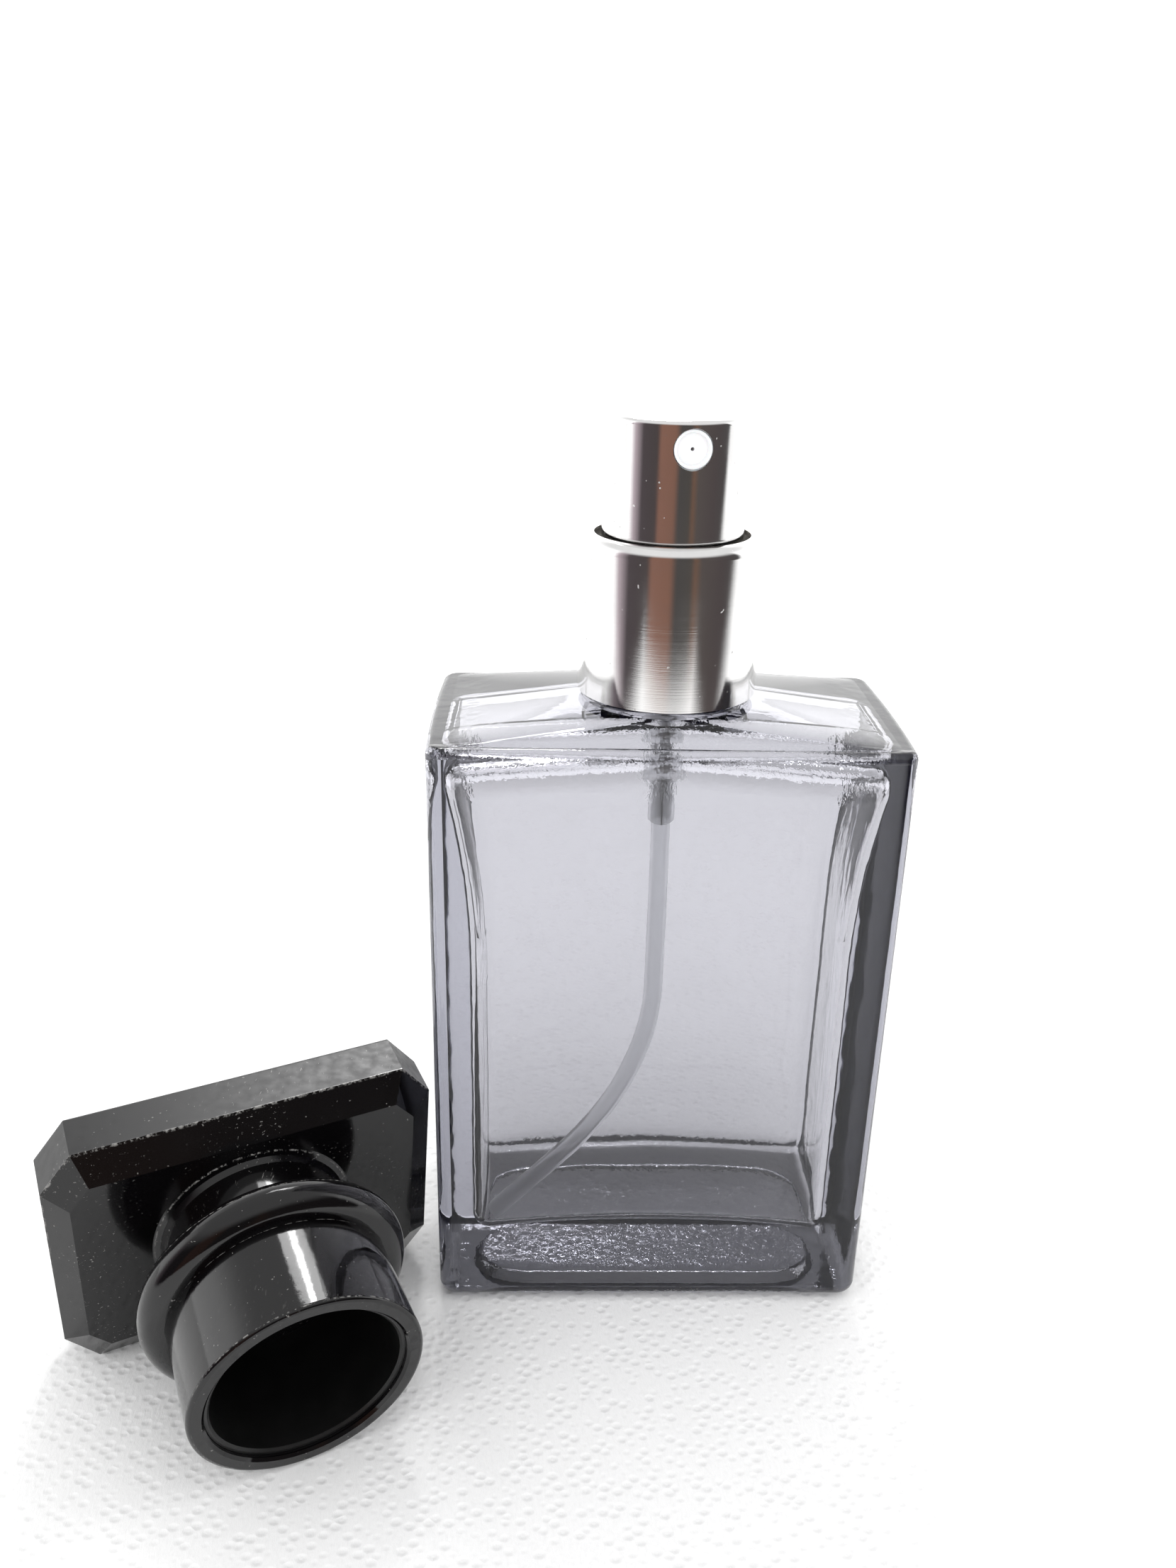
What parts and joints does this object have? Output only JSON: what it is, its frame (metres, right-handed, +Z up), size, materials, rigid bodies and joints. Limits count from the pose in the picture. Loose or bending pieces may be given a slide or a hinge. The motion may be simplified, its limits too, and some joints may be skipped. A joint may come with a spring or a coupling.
{
  "type": "aftershave bottle",
  "caption": "Rectangular smoked-glass aftershave bottle with a fine-mist pump in a metal collar, and its slab-topped pull-off cap lying beside it.",
  "frame": {"origin": "centre of the bottle's base, on the surface it stands on", "axes": "+Z up along the neck, sprayer and collar; -Y out of the wide front face; +X to the right seen from the front. The cap lies on the same surface at -X."},
  "size_m": [0.1009, 0.0605, 0.1111],
  "materials": {
    "smoked_glass": "thick smoke-grey clear glass, polished",
    "collar_metal": "bright polished, anodised",
    "button_metal": "bright polished, anodised",
    "closure_plastic": "moulded dark grey",
    "white_plastic": "moulded white",
    "natural_plastic": "translucent natural polypropylene",
    "gasket_rubber": "soft, matt",
    "spring_steel": "drawn stainless wire",
    "ball_steel": "polished ball",
    "cap_plate_plastic": "glossy dark grey lacquered moulding",
    "cap_sleeve_plastic": "glossy near-black lacquered moulding",
    "cap_liner_plastic": "soft black moulding"
  },
  "bodies": {
    "bottle": {"glass_bottle": "smoked_glass"},
    "pump": {"pump_housing": "natural_plastic", "stem_guide": "natural_plastic", "stem_seal": "gasket_rubber", "neck_gasket": "gasket_rubber", "return_spring": "spring_steel", "dip_tube": "natural_plastic"},
    "ball": {"check_ball": "ball_steel"},
    "closure": {"screw_closure": "closure_plastic", "collar_shell": "collar_metal"},
    "plunger": {"pump_stem": "natural_plastic", "piston": "natural_plastic", "spring_stem": "natural_plastic"},
    "actuator": {"actuator_shell": "button_metal", "actuator_core": "white_plastic", "nozzle_insert": "white_plastic"},
    "cap": {"cap_plate": "cap_plate_plastic", "cap_sleeve": "cap_sleeve_plastic", "cap_liner": "cap_liner_plastic"}
  },
  "joints": [
    {"name": "pump_lift", "type": "slide", "parent": "bottle", "child": "pump", "axis": [0, 0, 1], "range_m": [0, 0.00476]},
    {"name": "closure_turn", "type": "hinge", "parent": "pump", "child": "closure", "pos_m": [0, 0, 0.0911], "axis": [0, 0, 1], "range_deg": [0, 540]},
    {"name": "plunger_press", "type": "slide", "parent": "pump", "child": "plunger", "axis": [0, 0, -1], "range_m": [0, 0.0045], "stiffness_N_per_m": 900, "springref_m": -0.002, "deforming": ["return_spring"]},
    {"name": "actuator_swivel", "type": "hinge", "parent": "plunger", "child": "actuator", "pos_m": [0, 0, 0.1042], "axis": [0, 0, 1], "continuous": true},
    {"name": "ball_lift", "type": "slide", "parent": "pump", "child": "ball", "axis": [0, 0, 1], "range_m": [0, 0.0008]},
    {"name": "cap_lift", "type": "slide", "parent": "bottle", "child": "cap", "axis": [0, 0, 1], "range_m": [0, 0.08]}
  ],
  "couplings": [
    {"joint": "closure_turn", "follows": "pump_lift", "rad_per_m": 1979}
  ]
}
